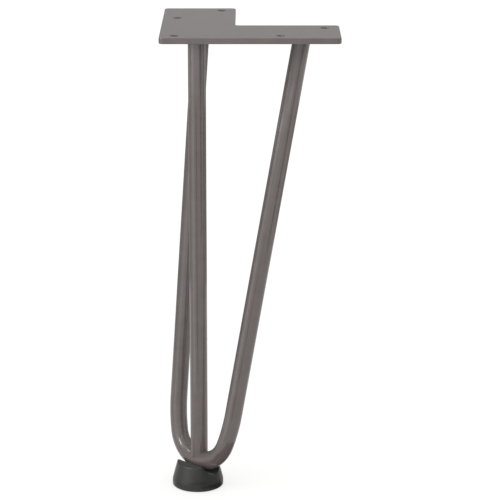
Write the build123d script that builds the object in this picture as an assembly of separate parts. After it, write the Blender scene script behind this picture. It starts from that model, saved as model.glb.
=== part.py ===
from build123d import *
import math
import os

# Hairpin table leg: an L-shaped mounting plate, a rod bent to a hairpin, a straight rod that
# braces the hairpin's bend from the plate's corner, their welds and a moulded floor foot.
# The origin is on the plate's mounting face, on the axis of the straight corner rod. +Z is up.
# The plate's arms run along +X and +Y. All sizes are in millimetres, angles in degrees.

# Whole leg
overall_height = 320.0        # mounting face to floor

# Mounting plate
plate_side = 120.0            # outer length of each arm
arm_width = 50.0
plate_thickness = 4.0
plate_corner_radius = 3.0
notch_radius = 3.0            # inside corner of the L
plate_edge_break = 0.5        # bevelled rim of both faces
hole_diameter = 5.5
hole_margin = 10.0            # hole centre to the edges beside it
outer_hole_reach = 70.0       # from the corner hole to the next hole along each outer edge

# Rods
rod_diameter = 12.0
corner_rod_inset = 24.5       # corner rod's axis from both outer edges of the plate
hairpin_inset = 26.3          # hairpin's tops from the outer edge of their arm
hairpin_end_margin = 25.4     # hairpin's tops from the end of their arm
bend_radius = 24.0            # centreline of the hairpin's bend
bend_half_angle = 72.5        # how far the bend turns on either side of its lowest point
shoulder_radius = 106.0       # centreline of the easy curve that leads from the bend into each leg
cope_gap = 0.15               # root gap between the corner rod's end and the bend

# Welds
plate_weld_leg = 3.0          # flat fillets round the rods' tops, under the plate
bend_weld_leg = 1.0           # small fillets in the crotches between the corner rod and the bend
bend_weld_radius = 3.5        # roundness of their faces

# Floor foot
foot_base_diameter = 35.4
foot_top_diameter = 28.8
foot_height = 17.0
foot_band_height = 4.5        # upright band above the floor
foot_base_edge = 0.8          # bevel at the floor
foot_band_edge = 6.0          # rounding between band and cone
foot_rim_edge = 0.8           # rounding of the top rim
channel_radius = 9.0          # hollow across the top that the bend lies in
channel_depth = 6.2
foot_seat_gap = 0.05          # bend to the bottom of the channel

# Sizes worked out from those above
rod_radius = rod_diameter / 2
plate_underside = -plate_thickness
floor_level = -overall_height
channel_floor = floor_level + foot_height - channel_depth
crown_level = channel_floor + foot_seat_gap + rod_radius
overrun = 4 * rod_diameter                    # length of rod that is trimmed away at the plate


def on_plate(from_left, from_front, level):
    """Place given by its distances from the plate's two outer edges."""
    return Vector(from_left - corner_rod_inset, from_front - corner_rod_inset, level)


# The hairpin lies in a leaning plane that stands across the plate's diagonal
tops_reach = plate_side - hairpin_end_margin
corner_top = on_plate(corner_rod_inset, corner_rod_inset, plate_underside)
front_top = on_plate(tops_reach, hairpin_inset, plate_underside)
back_top = on_plate(hairpin_inset, tops_reach, plate_underside)
tops_middle = (front_top + back_top) / 2
crown = Vector(corner_top.X, corner_top.Y, crown_level)   # lowest point of the bend's centreline
across = (front_top - back_top).normalized()
upward = (tops_middle - crown).normalized()
bend_centre = crown + upward * bend_radius


def make_mounting_plate():
    low_corner = (Align.MIN, Align.MIN)
    cut_side = plate_side - arm_width
    outline = Rectangle(plate_side, plate_side, align=low_corner)
    outline -= Pos(arm_width, arm_width) * Rectangle(cut_side, cut_side, align=low_corner)
    outer_corners = outline.vertices().sort_by_distance((arm_width, arm_width))[1:]
    outline = fillet(outer_corners, plate_corner_radius)
    outline = fillet(outline.vertices().sort_by_distance((arm_width, arm_width))[0], notch_radius)
    plate = Pos(on_plate(0, 0, 0)) * extrude(outline, -plate_thickness)
    plate = chamfer(plate.faces().filter_by(Axis.Z).edges(), plate_edge_break)
    for place in hole_places():
        plate -= Pos(place) * Cylinder(hole_diameter / 2, 3 * plate_thickness)
    return plate


def hole_places():
    """Screw holes: one in the corner, one along each outer edge and one at each arm's end."""
    near = hole_margin
    along = hole_margin + outer_hole_reach
    inner = arm_width - hole_margin
    end = plate_side - hole_margin
    spots = [(near, near), (along, near), (near, along), (end, inner), (inner, end)]
    return [on_plate(from_left, from_front, 0) for from_left, from_front in spots]


def arc_point(centre, radius, angle):
    """Point in the hairpin's plane; angle 0 is straight down the plane, positive to the front."""
    turn = math.radians(angle)
    return centre + across * (radius * math.sin(turn)) - upward * (radius * math.cos(turn))


def leg_and_shoulder(top, side):
    """Centreline of one leg, from past the plate's underside down its shoulder to the bend."""
    bend_end = side * bend_half_angle
    centre = arc_point(bend_centre, bend_radius - shoulder_radius, bend_end)
    to_top = top - centre
    slope = math.atan2(to_top.dot(upward), side * to_top.dot(across))
    leg_end = side * (90 + math.degrees(slope - math.acos(shoulder_radius / to_top.length)))
    tangent = arc_point(centre, shoulder_radius, leg_end)
    middle = arc_point(centre, shoulder_radius, (leg_end + bend_end) / 2)
    joint = arc_point(bend_centre, bend_radius, bend_end)
    past_plate = top + (top - tangent).normalized() * overrun
    return Line(past_plate, tangent) + ThreePointArc(tangent, middle, joint), joint


def hairpin_path():
    front, front_joint = leg_and_shoulder(front_top, 1)
    back, back_joint = leg_and_shoulder(back_top, -1)
    return Wire(front.edges() + ThreePointArc(front_joint, crown, back_joint).edges() + back.edges())


def bent_rod(radius):
    path = hairpin_path()
    return sweep(Plane(path @ 0, z_dir=path % 0) * Circle(radius), path)


def post(radius, height, foot):
    """Upright round bar that stands on the given point."""
    return Pos(foot) * Cylinder(radius, height, align=(Align.CENTER, Align.CENTER, Align.MIN))


def make_hairpin_rod():
    room = 4 * plate_side
    above_plate = Pos(0, 0, plate_underside) * Box(
        room, room, room, align=(Align.CENTER, Align.CENTER, Align.MIN)
    )
    return bent_rod(rod_radius) - above_plate


def make_corner_rod():
    return post(rod_radius, plate_underside - crown_level, crown) - bent_rod(rod_radius + cope_gap)


def make_plate_weld(rod, top):
    """Fillet between the plate's underside and the rod that ends there."""
    reach = rod_radius + 4 * plate_weld_leg
    pad = post(reach, plate_thickness, top)
    stub = rod & post(reach, reach, top - Vector(0, 0, reach))
    joined = pad + stub
    root = joined.edges().filter_by(lambda edge: edge.bounding_box().size.Z < 1e-4)
    root = root.filter_by(lambda edge: abs(edge.center().Z - plate_underside) < 1e-4)
    return chamfer(root.sort_by(SortBy.LENGTH)[0], plate_weld_leg) - pad - stub


def make_bend_weld(hairpin, side):
    """Convex fillet in one crotch, which runs out where the rods' sides become flush."""
    root_rise = bend_radius - math.sqrt((bend_radius - rod_radius) ** 2 - rod_radius**2)
    root = crown + across * (side * rod_radius) + Vector(0, 0, root_rise)
    sink = (math.sqrt(2 * bend_weld_radius**2 - bend_weld_leg**2) - bend_weld_leg) / 2
    centre = root - across * (side * sink) - Vector(0, 0, sink)
    return Pos(centre) * Sphere(bend_weld_radius) - post(rod_radius, bend_radius, crown) - hairpin


def make_floor_foot():
    """Truncated cone whose axis meets the hairpin's leaning plane at half the foot's height."""
    base_radius = foot_base_diameter / 2
    top_radius = foot_top_diameter / 2
    base_corner = (base_radius, 0)
    band_corner = (base_radius, foot_band_height)
    rim_corner = (top_radius, foot_height)
    outline = Polyline((0, 0), base_corner, band_corner, rim_corner, (0, foot_height), close=True)
    section = make_face(outline)
    section = chamfer(section.vertices().sort_by_distance(base_corner)[0], foot_base_edge)
    section = fillet(section.vertices().sort_by_distance(band_corner)[0], foot_band_edge)
    section = fillet(section.vertices().sort_by_distance(rim_corner)[0], foot_rim_edge)
    cone = revolve(Plane.XZ * section, Axis.Z)

    drop = crown_level - (floor_level + foot_height / 2)
    axis_place = crown - upward * (drop / upward.Z)
    cone = Pos(axis_place.X, axis_place.Y, floor_level) * cone
    channel_axis = Plane(Vector(crown.X, crown.Y, channel_floor + channel_radius), z_dir=across)
    return cone - channel_axis * Cylinder(channel_radius, 2 * foot_base_diameter)


hairpin_rod = make_hairpin_rod()
corner_rod = make_corner_rod()
rod_tops = [(corner_rod, corner_top), (hairpin_rod, front_top), (hairpin_rod, back_top)]
nodes = {
    "mounting_plate": make_mounting_plate(),
    "hairpin_rod": hairpin_rod,
    "corner_rod": corner_rod,
    "plate_welds": Compound([make_plate_weld(rod, top) for rod, top in rod_tops]),
    "bend_weld": Compound([make_bend_weld(hairpin_rod, side) for side in (1, -1)]),
    "floor_foot": make_floor_foot(),
}
os.makedirs("parts", exist_ok=True)
for name, shape in nodes.items():
    export_step(shape, f"parts/{name}.step")
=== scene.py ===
import math

import bmesh
import bpy
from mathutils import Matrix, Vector


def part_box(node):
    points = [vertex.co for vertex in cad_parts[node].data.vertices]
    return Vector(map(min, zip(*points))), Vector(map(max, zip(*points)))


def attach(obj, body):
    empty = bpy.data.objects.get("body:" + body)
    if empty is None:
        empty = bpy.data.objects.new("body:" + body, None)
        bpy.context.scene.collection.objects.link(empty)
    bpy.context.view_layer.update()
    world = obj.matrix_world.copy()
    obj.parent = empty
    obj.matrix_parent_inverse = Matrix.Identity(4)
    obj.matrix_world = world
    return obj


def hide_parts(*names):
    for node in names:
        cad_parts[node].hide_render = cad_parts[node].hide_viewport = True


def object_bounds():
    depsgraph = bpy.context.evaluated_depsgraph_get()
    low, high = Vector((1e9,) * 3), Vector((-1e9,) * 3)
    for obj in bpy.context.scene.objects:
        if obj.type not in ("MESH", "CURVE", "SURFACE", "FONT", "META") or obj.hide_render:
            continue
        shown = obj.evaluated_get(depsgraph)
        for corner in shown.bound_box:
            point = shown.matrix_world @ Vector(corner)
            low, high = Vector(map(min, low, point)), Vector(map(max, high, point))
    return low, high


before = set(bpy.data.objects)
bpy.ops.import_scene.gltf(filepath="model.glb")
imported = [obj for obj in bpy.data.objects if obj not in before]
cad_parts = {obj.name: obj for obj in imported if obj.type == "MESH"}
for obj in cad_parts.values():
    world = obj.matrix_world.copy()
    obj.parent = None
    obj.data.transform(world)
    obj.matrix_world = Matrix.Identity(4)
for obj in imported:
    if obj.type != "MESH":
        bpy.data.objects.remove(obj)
cad_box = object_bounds()

# Hairpin table leg in satin warm grey powder coat on a dark moulded foot. Lengths are in metres,
# in the leg's own frame: the origin is on the plate's mounting face, over the corner rod, +Z up.
MM = 0.001
floor_level = cad_box[0].z
plate_low, plate_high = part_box("mounting_plate")
plate_underside = plate_low.z

# Mounting plate
arm_width = 50 * MM
plate_corner_radius = 3 * MM
plate_rim_radius = 0.5 * MM
hole_radius = 2.75 * MM
hole_margin = 10 * MM                 # hole centre to the edges beside it
outer_hole_reach = 70 * MM            # from the corner hole to the next hole along each outer edge

# Rods
rod_radius = 6 * MM
hairpin_inset = 26.3 * MM             # hairpin's tops from the outer edge of their arm
hairpin_end_margin = 25.4 * MM        # hairpin's tops from the end of their arm
crown_height = 16.85 * MM             # lowest point of the bend's centreline, from the floor
bend_radius = 24 * MM
bend_half_angle = math.radians(72.5)  # how far the bend turns on either side of the crown
shoulder_radius = 106 * MM            # easy curve from the bend into each leg
cope_gap = 0.02 * MM                  # hairline between the corner rod's end and the bend
overrun = 2 * rod_radius              # rod beyond the plate's underside, which is trimmed away

# Welds under the plate
weld_leg = 3 * MM
weld_face_radius = 6 * MM             # roundness of the bead's face
weld_overlap = math.radians(3)        # how far the face runs on into the plate and the rod
weld_ripple_pitch = 1.7 * MM
weld_ripple_height = 0.16 * MM
weld_ripple_bow = 1.2                 # how much a ripple's middle runs ahead of its ends

# Weld metal built up on the inside of the bend, dressed smooth, where the corner rod stands on it
saddle_height = 1.5 * MM              # its swelling at the crown, towards the inside of the bend
saddle_wrap = math.radians(155)       # how far it reaches round the rod on either side
saddle_sink = 0.2 * MM                # its inner face below the bend's skin
saddle_skirt = 0.1 * MM               # its thickness where it has run out, below the bend's skin
saddle_bite = 0.05 * MM               # how far it reaches into the corner rod

# Fineness of the meshes
rod_sides = 64
bend_points = 40                      # along each of the hairpin's curves
bead_points = 360                     # round each weld bead
bead_face_points = 14                 # across the bead's face
saddle_steps = 60                     # along the weld on the bend
corner_steps = 12                     # round each corner of the plate
rim_steps = 4                         # over each rim of the plate
hole_points = 48                      # round each screw hole
foot_grain = 0.3 * MM                 # width of the faces of the foot's skin
merge_distance = 0.01 * MM            # points closer than this become one
fine_merge_distance = 0.005 * MM
crease_angle = math.radians(35)       # sharper edges are shaded as creases


def colour(hex_code):
    """sRGB hex code to linear RGBA."""
    parts = [int(hex_code[i:i + 2], 16) / 255 for i in (1, 3, 5)]
    return [p / 12.92 if p <= 0.04045 else ((p + 0.055) / 1.055) ** 2.4 for p in parts] + [1.0]


def add(tree, kind, settings=None, links=None):
    """New node of a kind; settings are its properties or input values, links feed its inputs."""
    node = tree.nodes.new(kind)
    for name, value in (settings or {}).items():
        if isinstance(name, str) and hasattr(node, name):
            setattr(node, name, value)
        else:
            node.inputs[name].default_value = value
    for name, socket in (links or {}).items():
        tree.links.new(socket, node.inputs[name])
    return node


def new_material(name):
    material = bpy.data.materials.new(name)
    material.use_nodes = True
    material.node_tree.nodes.clear()
    return material


def make_powder_coat():
    """Polyester powder coat baked on steel: satin, with the faint orange peel of melted powder."""
    mottle_size = 9 * MM
    peel_size = 1.6 * MM
    peel_depth = 0.02 * MM
    material = new_material("powder_coated_steel")
    tree = material.node_tree
    place = add(tree, "ShaderNodeTexCoord").outputs["Object"]

    # Shade and gloss drift a little, where the powder lies thicker or thinner
    mottle = add(
        tree,
        "ShaderNodeTexNoise",
        {"Scale": 1 / mottle_size, "Detail": 3.0, "Roughness": 0.55},
        {"Vector": place},
    ).outputs["Fac"]
    tint = add(tree, "ShaderNodeValToRGB", links={"Fac": mottle})
    shades = [(0.35, "#746b69"), (0.65, "#7b7170")]
    for stop, (position, shade) in zip(tint.color_ramp.elements, shades):
        stop.position = position
        stop.color = colour(shade)
    gloss = add(tree, "ShaderNodeMapRange", {"To Min": 0.11, "To Max": 0.15}, {"Value": mottle})

    # Orange peel, which makes the edges of reflections waver
    peel = add(tree, "ShaderNodeTexNoise", {"Scale": 1 / peel_size, "Detail": 1.0}, {"Vector": place})
    bump = add(
        tree,
        "ShaderNodeBump",
        {"Strength": 0.25, "Distance": peel_depth},
        {"Height": peel.outputs["Fac"]},
    )
    shader = add(
        tree,
        "ShaderNodeBsdfPrincipled",
        {"IOR": 1.5, "Metallic": 0.0},
        {
            "Base Color": tint.outputs["Color"],
            "Roughness": gloss.outputs["Result"],
            "Normal": bump.outputs["Normal"],
        },
    )
    add(tree, "ShaderNodeOutputMaterial", links={"Surface": shader.outputs["BSDF"]})
    return material


def make_rubber():
    """Moulded rubber: charcoal, matt, with the fine grain of the mould's etched wall."""
    grain_size = 0.5 * MM             # coarser than such a grain really is, so that it shows
    grain_depth = 0.03 * MM
    material = new_material("moulded_rubber")
    tree = material.node_tree
    place = add(tree, "ShaderNodeTexCoord").outputs["Object"]
    grain = add(
        tree,
        "ShaderNodeTexNoise",
        {"Scale": 1 / grain_size, "Detail": 2.0},
        {"Vector": place},
    ).outputs["Fac"]
    tint = add(tree, "ShaderNodeValToRGB", links={"Fac": grain})
    shades = [(0.3, "#1d1c1b"), (0.7, "#232221")]
    for stop, (position, shade) in zip(tint.color_ramp.elements, shades):
        stop.position = position
        stop.color = colour(shade)
    bump = add(tree, "ShaderNodeBump", {"Strength": 0.3, "Distance": grain_depth}, {"Height": grain})

    # Sheen stands for the dusty bloom of rubber, which pales it where it turns away from the eye
    shader = add(
        tree,
        "ShaderNodeBsdfPrincipled",
        {"IOR": 1.5, "Roughness": 0.5, "Sheen Weight": 0.4, "Sheen Roughness": 0.35},
        {"Base Color": tint.outputs["Color"], "Normal": bump.outputs["Normal"]},
    )
    add(tree, "ShaderNodeOutputMaterial", links={"Surface": shader.outputs["BSDF"]})
    return material


def new_tree(name, sizes):
    """Geometry Nodes tree with a geometry input, named sizes and a finish; gives it and its inputs."""
    tree = bpy.data.node_groups.new(name, "GeometryNodeTree")
    sockets = tree.interface
    sockets.new_socket("Geometry", in_out="INPUT", socket_type="NodeSocketGeometry")
    for size, kind in sizes.items():
        sockets.new_socket(size, in_out="INPUT", socket_type=kind)
    sockets.new_socket("Finish", in_out="INPUT", socket_type="NodeSocketMaterial")
    sockets.new_socket("Geometry", in_out="OUTPUT", socket_type="NodeSocketGeometry")
    return tree, tree.nodes.new("NodeGroupInput").outputs


def end_tree(tree, inputs, geometry):
    """Shades a tree's geometry smooth, makes it real and gives it its finish."""
    smooth = add(tree, "GeometryNodeSetShadeSmooth", links={"Geometry": geometry})
    real = add(tree, "GeometryNodeRealizeInstances", links={"Geometry": smooth.outputs["Geometry"]})
    dressed = add(
        tree,
        "GeometryNodeSetMaterial",
        links={"Geometry": real.outputs["Geometry"], "Material": inputs["Finish"]},
    )
    add(tree, "NodeGroupOutput", links={"Geometry": dressed.outputs["Geometry"]})


def new_piece(name, data):
    piece = bpy.data.objects.new(name, data)
    bpy.context.scene.collection.objects.link(piece)
    return piece


def make_plain(piece):
    """Turns a piece with its modifiers into one plain mesh, with creases where it turns sharply."""
    evaluated = piece.evaluated_get(bpy.context.evaluated_depsgraph_get())
    mesh = bpy.data.meshes.new_from_object(evaluated)
    mesh.name = piece.name
    mesh.set_sharp_from_angle(angle=crease_angle)
    if piece.type == "MESH":
        piece.modifiers.clear()
        piece.data = mesh
        return piece
    name = piece.name
    bpy.data.objects.remove(piece)
    return new_piece(name, mesh)


def grow(name, tree, points, edges, attribute, sizes):
    """Piece that a tree grows from points and edges; the attribute holds one value for each point."""
    key, kind, values = attribute
    seed = bpy.data.meshes.new(name)
    seed.from_pydata(points, edges, [])
    layer = seed.attributes.new(key, kind, "POINT")
    if kind == "FLOAT_VECTOR":
        layer.data.foreach_set("vector", [number for value in values for number in value])
    else:
        layer.data.foreach_set("value", values)
    piece = new_piece(name, seed)
    modifier = piece.modifiers.new(tree.name, "NODES")
    modifier.node_group = tree
    for socket in tree.interface.items_tree:
        if socket.in_out == "INPUT" and socket.name in sizes:
            modifier[socket.identifier] = sizes[socket.name]
    return make_plain(piece)


def carve(piece, cutter):
    """Cuts one piece's form out of another, drops the cutter and clears slivers off the cut."""
    cut = piece.modifiers.new("cut", "BOOLEAN")
    cut.operation = "DIFFERENCE"
    cut.solver = "EXACT"
    cut.object = cutter
    piece = make_plain(piece)
    bpy.data.objects.remove(cutter)
    shell = bmesh.new()
    shell.from_mesh(piece.data)
    bmesh.ops.remove_doubles(shell, verts=shell.verts, dist=merge_distance)
    bmesh.ops.dissolve_degenerate(shell, edges=shell.edges, dist=fine_merge_distance)
    shell.to_mesh(piece.data)
    shell.free()
    return piece


def settle(piece, node):
    """Puts a finished piece in a node's place."""
    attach(piece, "root")
    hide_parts(node)


def make_rod_tree():
    """Round rod along a run of straights, bent at each corner and trimmed level at the plate."""
    tree, inputs = new_tree(
        "bent_rod",
        {
            "Rod Radius": "NodeSocketFloat",
            "Sides": "NodeSocketInt",
            "Points per Bend": "NodeSocketInt",
            "Trim Level": "NodeSocketFloat",
        },
    )
    run = add(tree, "GeometryNodeMeshToCurve", links={"Mesh": inputs["Geometry"]})
    corner_radius = add(tree, "GeometryNodeInputNamedAttribute", {"Name": "bend_radius"})
    path = add(
        tree,
        "GeometryNodeFilletCurve",
        {"mode": "POLY"},
        {
            "Curve": run.outputs["Curve"],
            "Count": inputs["Points per Bend"],
            "Radius": corner_radius.outputs["Attribute"],
        },
    )
    tangent = add(tree, "GeometryNodeInputTangent")
    marked = add(
        tree,
        "GeometryNodeStoreNamedAttribute",
        {"data_type": "FLOAT_VECTOR", "Name": "lean"},
        {"Geometry": path.outputs["Curve"], "Value": tangent.outputs["Tangent"]},
    )
    ring = add(
        tree,
        "GeometryNodeCurvePrimitiveCircle",
        links={"Resolution": inputs["Sides"], "Radius": inputs["Rod Radius"]},
    )
    rod = add(
        tree,
        "GeometryNodeCurveToMesh",
        {"Fill Caps": True},
        {"Curve": marked.outputs["Geometry"], "Profile Curve": ring.outputs["Curve"]},
    )

    # What stands above the trim level slides back to it along the rod
    place = add(tree, "GeometryNodeInputPosition").outputs["Position"]
    height = add(tree, "ShaderNodeSeparateXYZ", links={"Vector": place})
    excess = add(
        tree,
        "ShaderNodeMath",
        {"operation": "SUBTRACT"},
        {0: height.outputs["Z"], 1: inputs["Trim Level"]},
    )
    above = add(tree, "FunctionNodeCompare", {"B": 0.0}, {"A": excess.outputs["Value"]})
    lean = add(
        tree,
        "GeometryNodeInputNamedAttribute",
        {"data_type": "FLOAT_VECTOR", "Name": "lean"},
    ).outputs["Attribute"]
    rise = add(tree, "ShaderNodeSeparateXYZ", links={"Vector": lean})
    share = add(
        tree,
        "ShaderNodeMath",
        {"operation": "DIVIDE"},
        {0: excess.outputs["Value"], 1: rise.outputs["Z"]},
    )
    back = add(
        tree,
        "ShaderNodeVectorMath",
        {"operation": "SCALE"},
        {0: lean, "Scale": share.outputs["Value"]},
    )
    trimmed_place = add(
        tree,
        "ShaderNodeVectorMath",
        {"operation": "SUBTRACT"},
        {0: place, 1: back.outputs["Vector"]},
    )
    trimmed = add(
        tree,
        "GeometryNodeSetPosition",
        links={
            "Geometry": rod.outputs["Mesh"],
            "Selection": above.outputs["Result"],
            "Position": trimmed_place.outputs["Vector"],
        },
    )
    end_tree(tree, inputs, trimmed.outputs["Geometry"])
    return tree


def across_diagonal(point):
    """Mirror image of a point in the upright plane through the plate's diagonal."""
    return Vector((point.y, point.x, point.z))


# Where the rods end: the corner rod's and the hairpin's tops, and the crown of the bend
corner_top = Vector((0.0, 0.0, plate_underside))
front_top = Vector((plate_high.x - hairpin_end_margin, plate_low.y + hairpin_inset, plate_underside))
back_top = across_diagonal(front_top)
crown = Vector((0.0, 0.0, floor_level + crown_height))


def hairpin_plane():
    """Directions across and up the hairpin's leaning plane, and the centre of its bend."""
    across = (front_top - back_top).normalized()
    upward = ((front_top + back_top) / 2 - crown).normalized()
    return across, upward, crown + upward * bend_radius


def hairpin_corners():
    """Corners of the hairpin's centreline: top, shoulder, bend, shoulder and top."""
    across, upward, bend_centre = hairpin_plane()
    bend_corner = bend_centre - upward * (bend_radius / math.cos(bend_half_angle))
    outward = across * math.sin(bend_half_angle) - upward * math.cos(bend_half_angle)
    climb = across * math.cos(bend_half_angle) + upward * math.sin(bend_half_angle)
    to_top = front_top - (bend_centre + outward * (bend_radius - shoulder_radius))
    slope = math.atan2(to_top.dot(upward), to_top.dot(across))
    leg_angle = math.pi / 2 + slope - math.acos(shoulder_radius / to_top.length)
    shoulder_turn = leg_angle - bend_half_angle
    bend_end = bend_centre + outward * bend_radius
    shoulder = bend_end + climb * (shoulder_radius * math.tan(shoulder_turn / 2))
    end = front_top + (front_top - shoulder).normalized() * overrun
    return [end, shoulder, bend_corner, across_diagonal(shoulder), across_diagonal(end)]


def make_rod(tree, name, corners, bends, radius, finish):
    """Rod along a run of corners, each with the radius of its bend."""
    edges = [(i, i + 1) for i in range(len(corners) - 1)]
    sizes = {
        "Rod Radius": radius,
        "Sides": rod_sides,
        "Points per Bend": bend_points,
        "Trim Level": plate_underside,
        "Finish": finish,
    }
    return grow(name, tree, corners, edges, ("bend_radius", "FLOAT", bends), sizes)


def make_hairpin(tree, name, radius, finish):
    bends = [0.0, shoulder_radius, bend_radius, shoulder_radius, 0.0]
    return make_rod(tree, name, hairpin_corners(), bends, radius, finish)


def make_upright(tree, name, radius, finish):
    """Straight rod from the plate's underside down to the crown."""
    past_plate = corner_top + Vector((0.0, 0.0, overrun))
    return make_rod(tree, name, [past_plate, crown], [0.0, 0.0], radius, finish)


def make_corner_rod(tree, finish):
    """Straight rod whose lower end is coped to the bend."""
    rod = make_upright(tree, "straight_rod", rod_radius, finish)
    return carve(rod, make_hairpin(tree, "cope_cutter", rod_radius + cope_gap, finish))


def make_weld_tree():
    """Rippled weld beads round rods that end under the plate, one at each point."""
    tree, inputs = new_tree(
        "weld_beads",
        {
            "Spine Radius": "NodeSocketFloat",
            "Spine Height": "NodeSocketFloat",
            "Face Radius": "NodeSocketFloat",
            "Face Start": "NodeSocketFloat",
            "Face Sweep": "NodeSocketFloat",
            "Ripples": "NodeSocketInt",
            "Ripple Height": "NodeSocketFloat",
        },
    )
    place = add(tree, "GeometryNodeInputPosition").outputs["Position"]
    along = add(tree, "GeometryNodeSplineParameter").outputs["Factor"]

    # A face with its centre on the spine is swept round the rod
    spine = add(
        tree,
        "GeometryNodeCurvePrimitiveCircle",
        {"Resolution": bead_points},
        {"Radius": inputs["Spine Radius"]},
    )
    spine_place = add(
        tree,
        "GeometryNodeStoreNamedAttribute",
        {"data_type": "FLOAT_VECTOR", "Name": "spine"},
        {"Geometry": spine.outputs["Curve"], "Value": place},
    )
    round_spine = add(
        tree,
        "GeometryNodeStoreNamedAttribute",
        {"Name": "round"},
        {"Geometry": spine_place.outputs["Geometry"], "Value": along},
    )
    face = add(
        tree,
        "GeometryNodeCurveArc",
        {"Resolution": bead_face_points, "Connect Center": True},
        {
            "Radius": inputs["Face Radius"],
            "Start Angle": inputs["Face Start"],
            "Sweep Angle": inputs["Face Sweep"],
        },
    )
    over_face = add(
        tree,
        "GeometryNodeStoreNamedAttribute",
        {"Name": "over_face"},
        {"Geometry": face.outputs["Curve"], "Value": along},
    )
    bead = add(
        tree,
        "GeometryNodeCurveToMesh",
        links={"Curve": round_spine.outputs["Geometry"], "Profile Curve": over_face.outputs["Geometry"]},
    )

    # Ripples are crescents: their phase runs ahead in the middle of the face
    turns = add(tree, "GeometryNodeInputNamedAttribute", {"Name": "round"})
    phase = add(
        tree,
        "ShaderNodeMath",
        {"operation": "MULTIPLY"},
        {0: turns.outputs["Attribute"], 1: inputs["Ripples"]},
    )
    across_face = add(tree, "GeometryNodeInputNamedAttribute", {"Name": "over_face"})
    from_edge = add(
        tree,
        "ShaderNodeMath",
        {"operation": "PINGPONG", 1: 0.5},
        {0: across_face.outputs["Attribute"]},
    )
    crescent = add(
        tree,
        "ShaderNodeMath",
        {"operation": "MULTIPLY_ADD", 1: weld_ripple_bow},
        {0: from_edge.outputs["Value"], 2: phase.outputs["Value"]},
    )
    saw = add(tree, "ShaderNodeMath", {"operation": "FRACT"}, {0: crescent.outputs["Value"]})
    ripple = add(tree, "ShaderNodeMath", {"operation": "PINGPONG", 1: 0.5}, {0: saw.outputs["Value"]})
    depth = add(
        tree,
        "ShaderNodeMath",
        {"operation": "MULTIPLY"},
        {0: ripple.outputs["Value"], 1: inputs["Ripple Height"]},
    )
    centre = add(
        tree,
        "GeometryNodeInputNamedAttribute",
        {"data_type": "FLOAT_VECTOR", "Name": "spine"},
    )
    from_spine = add(
        tree,
        "ShaderNodeVectorMath",
        {"operation": "SUBTRACT"},
        {0: place, 1: centre.outputs["Attribute"]},
    )
    away = add(
        tree,
        "ShaderNodeVectorMath",
        {"operation": "NORMALIZE"},
        {0: from_spine.outputs["Vector"]},
    )
    swell = add(
        tree,
        "ShaderNodeVectorMath",
        {"operation": "SCALE"},
        {0: away.outputs["Vector"], "Scale": depth.outputs["Value"]},
    )
    rippled = add(
        tree,
        "GeometryNodeSetPosition",
        links={"Geometry": bead.outputs["Mesh"], "Offset": swell.outputs["Vector"]},
    )

    # Each bead goes to its rod's top and leans with the rod
    lift = add(tree, "ShaderNodeCombineXYZ", links={"Z": inputs["Spine Height"]})
    raised = add(
        tree,
        "GeometryNodeSetPosition",
        links={"Geometry": rippled.outputs["Geometry"], "Offset": lift.outputs["Vector"]},
    )
    height = add(tree, "ShaderNodeSeparateXYZ", links={"Vector": place})
    marked = add(
        tree,
        "GeometryNodeStoreNamedAttribute",
        {"Name": "below_plate"},
        {"Geometry": raised.outputs["Geometry"], "Value": height.outputs["Z"]},
    )
    beads = add(
        tree,
        "GeometryNodeInstanceOnPoints",
        links={"Points": inputs["Geometry"], "Instance": marked.outputs["Geometry"]},
    )
    real = add(tree, "GeometryNodeRealizeInstances", links={"Geometry": beads.outputs["Instances"]})
    lean = add(
        tree,
        "GeometryNodeInputNamedAttribute",
        {"data_type": "FLOAT_VECTOR", "Name": "lean"},
    )
    below_plate = add(tree, "GeometryNodeInputNamedAttribute", {"Name": "below_plate"})
    shear = add(
        tree,
        "ShaderNodeVectorMath",
        {"operation": "SCALE"},
        {0: lean.outputs["Attribute"], "Scale": below_plate.outputs["Attribute"]},
    )
    leaning = add(
        tree,
        "GeometryNodeSetPosition",
        links={"Geometry": real.outputs["Geometry"], "Offset": shear.outputs["Vector"]},
    )
    end_tree(tree, inputs, leaning.outputs["Geometry"])
    return tree


def make_weld_beads(finish):
    """Beads round the three rod tops; each leans with its rod."""
    # The face's centre lies as far inside the rod as above the plate's underside
    sink = (math.sqrt(2 * weld_face_radius**2 - weld_leg**2) - weld_leg) / 2
    face_start = math.asin(sink / weld_face_radius) - weld_overlap
    face_end = math.acos(sink / weld_face_radius) + weld_overlap
    shoulder = hairpin_corners()[1]
    leg = front_top - shoulder
    front_lean = Vector((leg.x / leg.z, leg.y / leg.z, 0.0))
    tops = [corner_top, front_top, back_top]
    leans = [Vector(), front_lean, across_diagonal(front_lean)]
    sizes = {
        "Spine Radius": rod_radius - sink,
        "Spine Height": sink,
        "Face Radius": weld_face_radius,
        "Face Start": face_start,
        "Face Sweep": face_end - face_start,
        "Ripples": round(2 * math.pi * (rod_radius + weld_leg / 2) / weld_ripple_pitch),
        "Ripple Height": weld_ripple_height,
        "Finish": finish,
    }
    return grow("weld_beads", make_weld_tree(), tops, [], ("lean", "FLOAT_VECTOR", leans), sizes)


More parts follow.
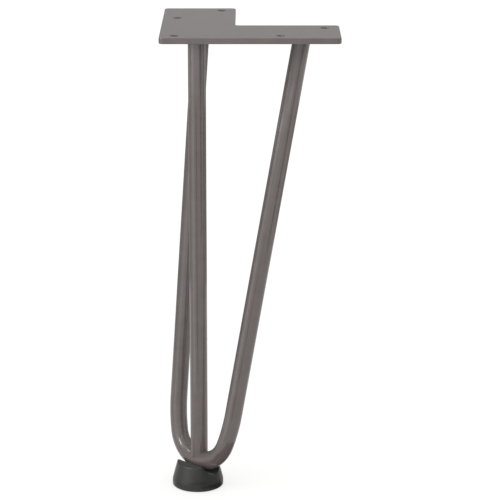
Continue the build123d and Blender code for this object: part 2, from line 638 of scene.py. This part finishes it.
def make_saddle_tree():
    """Band of weld metal along a bent rod, thickest on the inside of the bend."""
    tree, inputs = new_tree(
        "weld_saddle",
        {
            "Sides": "NodeSocketInt",
            "Core Radius": "NodeSocketFloat",
            "Wrap": "NodeSocketFloat",
            "Skirt": "NodeSocketFloat",
            "Height": "NodeSocketFloat",
            "Bend Centre": "NodeSocketVector",
        },
    )
    place = add(tree, "GeometryNodeInputPosition").outputs["Position"]

    # The line along the bend, whose normals point to the bend's centre
    line = add(tree, "GeometryNodeMeshToCurve", links={"Mesh": inputs["Geometry"]})
    inward = add(
        tree,
        "ShaderNodeVectorMath",
        {"operation": "SUBTRACT"},
        {0: inputs["Bend Centre"], 1: place},
    )
    upright = add(
        tree,
        "GeometryNodeSetCurveNormal",
        {"mode": "FREE"},
        {"Curve": line.outputs["Curve"], "Normal": inward.outputs["Vector"]},
    )
    axis = add(
        tree,
        "GeometryNodeStoreNamedAttribute",
        {"data_type": "FLOAT_VECTOR", "Name": "axis"},
        {"Geometry": upright.outputs["Curve"], "Value": place},
    )

    # The section runs out along the band's outer face and back along its inner one
    index = add(tree, "GeometryNodeInputIndex").outputs["Index"]
    out_and_back = add(
        tree,
        "ShaderNodeMath",
        {"operation": "PINGPONG"},
        {0: index, 1: inputs["Sides"]},
    )
    other_end = add(tree, "ShaderNodeMath", {"operation": "MULTIPLY", 1: -1.0}, {0: inputs["Wrap"]})
    turn = add(
        tree,
        "ShaderNodeMapRange",
        links={
            "Value": out_and_back.outputs["Value"],
            "From Max": inputs["Sides"],
            "To Min": other_end.outputs["Value"],
            "To Max": inputs["Wrap"],
        },
    ).outputs["Result"]
    sine = add(tree, "ShaderNodeMath", {"operation": "SINE"}, {0: turn}).outputs["Value"]
    cosine = add(tree, "ShaderNodeMath", {"operation": "COSINE"}, {0: turn}).outputs["Value"]
    direction = add(tree, "ShaderNodeCombineXYZ", links={"X": cosine, "Y": sine})
    core = add(
        tree,
        "ShaderNodeVectorMath",
        {"operation": "SCALE"},
        {0: direction.outputs["Vector"], "Scale": inputs["Core Radius"]},
    )
    count = add(tree, "ShaderNodeMath", {"operation": "MULTIPLY", 1: 2.0}, {0: inputs["Sides"]})
    ring = add(tree, "GeometryNodeCurvePrimitiveCircle", links={"Resolution": count.outputs["Value"]})
    on_outer_face = add(
        tree,
        "FunctionNodeCompare",
        {"operation": "LESS_EQUAL"},
        {"A": index, "B": inputs["Sides"]},
    )
    faced = add(
        tree,
        "GeometryNodeStoreNamedAttribute",
        {"Name": "outer"},
        {"Geometry": ring.outputs["Curve"], "Value": on_outer_face.outputs["Result"]},
    )
    half_raised = add(
        tree,
        "ShaderNodeMath",
        {"operation": "MULTIPLY_ADD", 1: 0.5, 2: 0.5},
        {0: cosine},
    )
    lobed = add(
        tree,
        "GeometryNodeStoreNamedAttribute",
        {"Name": "lobe"},
        {"Geometry": faced.outputs["Geometry"], "Value": half_raised.outputs["Value"]},
    )
    section = add(
        tree,
        "GeometryNodeSetPosition",
        links={"Geometry": lobed.outputs["Geometry"], "Position": core.outputs["Vector"]},
    )
    band = add(
        tree,
        "GeometryNodeCurveToMesh",
        {"Fill Caps": True},
        {"Curve": axis.outputs["Geometry"], "Profile Curve": section.outputs["Geometry"]},
    )

    # The outer face swells with the section's lobe and the line's fullness
    lobe = add(tree, "GeometryNodeInputNamedAttribute", {"Name": "lobe"})
    fullness = add(tree, "GeometryNodeInputNamedAttribute", {"Name": "fullness"})
    outer = add(tree, "GeometryNodeInputNamedAttribute", {"Name": "outer"})
    share = add(
        tree,
        "ShaderNodeMath",
        {"operation": "MULTIPLY"},
        {0: lobe.outputs["Attribute"], 1: fullness.outputs["Attribute"]},
    )
    thickness = add(
        tree,
        "ShaderNodeMath",
        {"operation": "MULTIPLY_ADD"},
        {0: share.outputs["Value"], 1: inputs["Height"], 2: inputs["Skirt"]},
    )
    swelling = add(
        tree,
        "ShaderNodeMath",
        {"operation": "MULTIPLY"},
        {0: thickness.outputs["Value"], 1: outer.outputs["Attribute"]},
    )
    centre = add(
        tree,
        "GeometryNodeInputNamedAttribute",
        {"data_type": "FLOAT_VECTOR", "Name": "axis"},
    )
    from_axis = add(
        tree,
        "ShaderNodeVectorMath",
        {"operation": "SUBTRACT"},
        {0: place, 1: centre.outputs["Attribute"]},
    )
    away = add(
        tree,
        "ShaderNodeVectorMath",
        {"operation": "NORMALIZE"},
        {0: from_axis.outputs["Vector"]},
    )
    offset = add(
        tree,
        "ShaderNodeVectorMath",
        {"operation": "SCALE"},
        {0: away.outputs["Vector"], "Scale": swelling.outputs["Value"]},
    )
    swollen = add(
        tree,
        "GeometryNodeSetPosition",
        links={"Geometry": band.outputs["Mesh"], "Offset": offset.outputs["Vector"]},
    )
    end_tree(tree, inputs, swollen.outputs["Geometry"])
    return tree


def make_saddle(rod_tree, finish):
    """Weld that swells the inside of the bend round the corner rod's end and fades out along it."""
    across, upward, bend_centre = hairpin_plane()
    points = []
    fullness = []
    for i in range(saddle_steps + 1):
        share = 2 * i / saddle_steps - 1
        turn = bend_half_angle * share
        outward = across * math.sin(turn) - upward * math.cos(turn)
        points.append(bend_centre + outward * bend_radius)
        fullness.append(math.cos(math.pi / 2 * share) ** 2)
    edges = [(i, i + 1) for i in range(saddle_steps)]
    sizes = {
        "Sides": rod_sides,
        "Core Radius": rod_radius - saddle_sink,
        "Wrap": saddle_wrap,
        "Skirt": saddle_skirt,
        "Height": saddle_height,
        "Bend Centre": bend_centre,
        "Finish": finish,
    }
    attribute = ("fullness", "FLOAT", fullness)
    saddle = grow("weld_saddle", make_saddle_tree(), points, edges, attribute, sizes)
    return carve(saddle, make_upright(rod_tree, "rod_cutter", rod_radius - saddle_bite, finish))


def rounded(corners, radius):
    """Closed outline through corners at right angles, each rounded by a quarter turn."""
    points = []
    for i, corner in enumerate(corners):
        before = (corners[i - 1] - corner).normalized()
        after = (corners[(i + 1) % len(corners)] - corner).normalized()
        centre = corner + (before + after) * radius
        for step in range(corner_steps + 1):
            turn = math.pi / 2 * step / corner_steps
            points.append(centre - (after * math.cos(turn) + before * math.sin(turn)) * radius)
    return points


def circle(x, y, radius):
    """Outline of a hole, which turns the other way from the plate's."""
    points = []
    for i in range(hole_points):
        turn = -2 * math.pi * i / hole_points
        points.append(Vector((x + radius * math.cos(turn), y + radius * math.sin(turn), 0.0)))
    return points


def plate_outlines(side):
    """Outline of the L and of its screw holes, from the plate's outer corner."""
    width = arm_width
    corners = [(0, 0), (side, 0), (side, width), (width, width), (width, side), (0, side)]
    outlines = [rounded([Vector((x, y, 0.0)) for x, y in corners], plate_corner_radius)]
    near = hole_margin
    along = hole_margin + outer_hole_reach
    inner = arm_width - hole_margin
    end = side - hole_margin
    for x, y in [(near, near), (along, near), (near, along), (end, inner), (inner, end)]:
        outlines.append(circle(x, y, hole_radius))
    return outlines


def make_plate(finish):
    """Flat L of steel sheet with screw holes; the coat rounds its rims over."""
    thickness = plate_high.z - plate_low.z
    curve = bpy.data.curves.new("sheet_plate", "CURVE")
    curve.dimensions = "2D"
    curve.fill_mode = "BOTH"
    curve.extrude = thickness / 2 - plate_rim_radius
    curve.bevel_depth = plate_rim_radius
    curve.bevel_resolution = rim_steps
    curve.offset = -plate_rim_radius
    curve.materials.append(finish)
    for outline in plate_outlines(plate_high.x - plate_low.x):
        spline = curve.splines.new("POLY")
        spline.points.add(len(outline) - 1)
        spline.use_cyclic_u = True
        for point, place in zip(spline.points, outline):
            point.co = (place.x, place.y, 0.0, 1.0)
    plate = make_plain(new_piece("sheet_plate", curve))

    # The outline was drawn from the plate's corner and at half its thickness
    middle = (plate_low.z + plate_high.z) / 2
    for vertex in plate.data.vertices:
        vertex.co += Vector((plate_low.x, plate_low.y, middle))
    merge = plate.modifiers.new("merge", "WELD")
    merge.merge_threshold = merge_distance
    plate = make_plain(plate)
    flat = plate.modifiers.new("flat", "WEIGHTED_NORMAL")
    flat.keep_sharp = True
    return make_plain(plate)


def make_foot(finish):
    """Moulded foot: the solid's form in one even skin, its edges softened as a mould leaves them."""
    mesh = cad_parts["floor_foot"].data.copy()
    mesh.materials.clear()
    mesh.materials.append(finish)
    foot = new_piece("moulded_foot", mesh)
    merge = foot.modifiers.new("merge", "WELD")
    merge.merge_threshold = fine_merge_distance
    skin = foot.modifiers.new("skin", "REMESH")
    skin.mode = "VOXEL"
    skin.voxel_size = foot_grain
    skin.use_smooth_shade = True
    soften = foot.modifiers.new("soften", "SMOOTH")
    soften.factor = 0.5
    soften.iterations = 3
    return make_plain(foot)


def seen_directly(tree):
    """1 for rays that show the background: camera, mirror and see-through rays; else 0."""
    path = add(tree, "ShaderNodeLightPath")
    first = add(
        tree,
        "ShaderNodeMath",
        {"operation": "MAXIMUM"},
        {0: path.outputs["Is Camera Ray"], 1: path.outputs["Is Glossy Ray"]},
    )
    both = add(
        tree,
        "ShaderNodeMath",
        {"operation": "MAXIMUM"},
        {0: first.outputs["Value"], 1: path.outputs["Is Transmission Ray"]},
    )
    return both.outputs["Value"]


def make_world():
    """White surroundings, dimmer as a light than as a background."""
    ambient = 0.70
    world = bpy.data.worlds.new("white_studio")
    bpy.context.scene.world = world
    world.use_nodes = True
    tree = world.node_tree
    tree.nodes.clear()
    level = add(
        tree,
        "ShaderNodeMapRange",
        {"To Min": ambient, "To Max": 1.0},
        {"Value": seen_directly(tree)},
    )
    light = add(
        tree,
        "ShaderNodeBackground",
        {"Color": colour("#ffffff")},
        {"Strength": level.outputs["Result"]},
    )
    add(tree, "ShaderNodeOutputWorld", links={"Surface": light.outputs["Background"]})


def new_stage_piece(name, points, faces, material):
    mesh = bpy.data.meshes.new(name)
    mesh.from_pydata(points, [], faces)
    mesh.materials.append(material)
    piece = new_piece(name, mesh)
    return piece


def make_floor():
    """Pale studio floor that shows white where no shadow falls, and is clear from below."""
    half_side = 30.0
    lift = 0.66                           # glow that only the background's rays see
    material = new_material("pale_matt_floor")
    tree = material.node_tree
    paint = add(tree, "ShaderNodeBsdfDiffuse", {"Color": colour("#bcbcba")})
    level = add(
        tree,
        "ShaderNodeMapRange",
        {"To Min": 0.0, "To Max": lift},
        {"Value": seen_directly(tree)},
    )
    glow = add(
        tree,
        "ShaderNodeEmission",
        {"Color": colour("#ffffff")},
        {"Strength": level.outputs["Result"]},
    )
    total = add(tree, "ShaderNodeAddShader", links={0: paint.outputs["BSDF"], 1: glow.outputs["Emission"]})
    side = add(tree, "ShaderNodeNewGeometry")
    clear = add(tree, "ShaderNodeBsdfTransparent")
    clear_below = add(
        tree,
        "ShaderNodeMixShader",
        links={0: side.outputs["Backfacing"], 1: total.outputs["Shader"], 2: clear.outputs["BSDF"]},
    )
    add(tree, "ShaderNodeOutputMaterial", links={"Surface": clear_below.outputs["Shader"]})
    signs = [(-1, -1), (1, -1), (1, 1), (-1, 1)]
    corners = [(x * half_side, y * half_side, floor_level) for x, y in signs]
    new_stage_piece("studio_floor", corners, [(0, 1, 2, 3)], material)


def add_card(name, points, faces, brightness, low_brightness=None):
    """Card that only mirror rays see: bright ones draw light bands, dark ones draw dark lines.

    Where low_brightness is given, the card fades to it at its lower edge.
    """
    material = new_material(name)
    tree = material.node_tree
    glow = add(tree, "ShaderNodeEmission", {"Strength": brightness})
    if low_brightness is not None:
        levels = [point[2] for point in points]
        place = add(tree, "ShaderNodeTexCoord").outputs["Object"]
        height = add(tree, "ShaderNodeSeparateXYZ", links={"Vector": place})
        fade = add(
            tree,
            "ShaderNodeMapRange",
            {
                "From Min": min(levels),
                "From Max": max(levels),
                "To Min": low_brightness,
                "To Max": brightness,
            },
            {"Value": height.outputs["Z"]},
        )
        tree.links.new(fade.outputs["Result"], glow.inputs["Strength"])
    add(tree, "ShaderNodeOutputMaterial", links={"Surface": glow.outputs["Emission"]})
    card = new_stage_piece(name, points, faces, material)
    card.visible_camera = False
    card.visible_diffuse = False
    card.visible_shadow = False


def add_upright_card(name, azimuths, distance, heights, brightness, low_brightness=None):
    """Card bent round the corner rod, between two azimuths in degrees and two heights from the floor.

    Azimuth 0 is the camera's side and positive azimuths are to its right.
    """
    steps = 24
    first, last = azimuths
    turns = [math.radians(first + (last - first) * i / steps) for i in range(steps + 1)]
    points = []
    for height in heights:
        level = floor_level + height
        points += [(distance * math.sin(turn), -distance * math.cos(turn), level) for turn in turns]
    faces = [(i, i + 1, i + steps + 2, i + steps + 1) for i in range(steps)]
    add_card(name, points, faces, brightness, low_brightness)


def add_low_card(name, corners, brightness):
    """Flat card near the floor; its corners are in millimetres, with their height from the floor."""
    points = [(x * MM, y * MM, floor_level + height * MM) for x, y, height in corners]
    add_card(name, points, [tuple(range(len(points)))], brightness)


def add_floor_card(name, corners, brightness):
    above_floor = 0.5                     # millimetres
    add_low_card(name, [(x, y, above_floor) for x, y in corners], brightness)


def make_cards():
    # Grey sheet that only reflections show: a painted darker reflection on the plate's top and the edges of
    # the rods
    add_upright_card("back_card", azimuths=(97, 263), distance=0.5, heights=(0.0, 0.75), brightness=0.43)

    # Light band on the left of the rods and dark line on their right
    add_upright_card("light_card", azimuths=(-75, -42), distance=0.20, heights=(0.0, 0.31), brightness=1.9)
    add_upright_card("dark_card", azimuths=(40, 58), distance=0.40, heights=(0.07, 0.31), brightness=0.0)

    # The two bright streaks on the left of the bend
    add_upright_card("low_strip", azimuths=(-62, -46), distance=3.0, heights=(1.68, 2.25), brightness=50.0)
    add_upright_card("high_strip", azimuths=(-101, -80), distance=1.0, heights=(1.29, 1.43), brightness=40.0)

    # A little more light on the plate's front and on the left of the hairpin's legs
    add_upright_card("front_card", azimuths=(-40, 4), distance=1.0, heights=(0.13, 0.62), brightness=1.5)

    # Light on the tops of the rods, where the plate shades them: azimuths, brightness below and above
    upper_cards = {
        "upper_left_card": ((-130, -75), 1.0, 1.4),
        "upper_light_card": ((-75, -42), 1.9, 3.8),
        "upper_front_card": ((-42, 26), 1.0, 2.6),
        "upper_right_card": ((60, 130), 1.0, 1.4),
    }
    for name, (azimuths, low_brightness, brightness) in upper_cards.items():
        add_upright_card(name, azimuths, 0.19, (0.230, 0.278), brightness, low_brightness)

    # Darker lower face of the bend
    add_floor_card("left_shade", [(-19, -24), (-95, -36), (-95, -6), (-21, -6)], 0.25)

    # Dark stripe just left of the rods' middle
    add_floor_card("front_shade", [(-110, -250), (-520, -1500), (-160, -1500), (-25, -250)], 0.1)

    # Dark patch on the right of the bend, and dark line low on the corner rod
    right_outline = [
        (4, -21), (8, -40), (22, -60), (24, -84), (46, -65), (64, -34), (70, 8),
        (34, 4), (14, -5), (13, -13), (10, -19),
    ]
    add_floor_card("right_shade", right_outline, 0.0)
    bend_outline = [(4, -20.5, 14), (20, -38.5, 14), (20, -38.5, 30.5), (4, -20.5, 24.5)]
    add_low_card("bend_shade", bend_outline, 0.0)

    # Darker lower face of the bend, over the foot
    low_outline = [(-20, -21, 8), (-24, -35, 8), (4, -34, 8), (8, -19, 8), (-2, -19, 8)]
    add_low_card("low_shade", low_outline, 0.1)


def add_sun(name, azimuth, elevation, spread, strength):
    """Distant soft lamp, even over the floor; azimuth 0 is the camera's side, positive to its right."""
    turn = math.radians(azimuth)
    rise = math.radians(elevation)
    level = math.cos(rise)
    towards = Vector((math.sin(turn) * level, -math.cos(turn) * level, math.sin(rise)))
    data = bpy.data.lights.new(name, "SUN")
    data.angle = math.radians(spread)
    data.energy = strength
    lamp = new_piece(name, data)
    lamp.rotation_euler = towards.to_track_quat("Z", "Y").to_euler()
    lamp.visible_glossy = False


def make_lights():
    add_sun("key_light", azimuth=-66, elevation=35, spread=50, strength=0.35)
    add_sun("fill_light", azimuth=30, elevation=15, spread=60, strength=0.3)


def make_camera():
    """Camera that gives the photo's view: level, looking along +Y and a little down."""
    place = Vector((35.439, -1478.226, 260.416)) * MM
    pitch = 15.53                         # degrees below the horizon
    data = bpy.data.cameras.new("photo_camera")
    data.sensor_width = 36.0
    data.lens = 162.0
    data.clip_start = 0.05
    data.clip_end = 100.0
    camera = new_piece("photo_camera", data)
    camera.location = place
    camera.rotation_euler = (math.radians(90 - pitch), 0.0, 0.0)
    bpy.context.scene.camera = camera


powder_coat = make_powder_coat()
rubber = make_rubber()
rod_tree = make_rod_tree()
settle(make_plate(powder_coat), "mounting_plate")
settle(make_hairpin(rod_tree, "bent_rod", rod_radius, powder_coat), "hairpin_rod")
settle(make_corner_rod(rod_tree, powder_coat), "corner_rod")
settle(make_weld_beads(powder_coat), "plate_welds")
settle(make_foot(rubber), "floor_foot")
settle(make_saddle(rod_tree, powder_coat), "bend_weld")

make_world()
make_floor()
make_cards()
make_lights()
make_camera()
bpy.context.scene.view_settings.view_transform = "Standard"
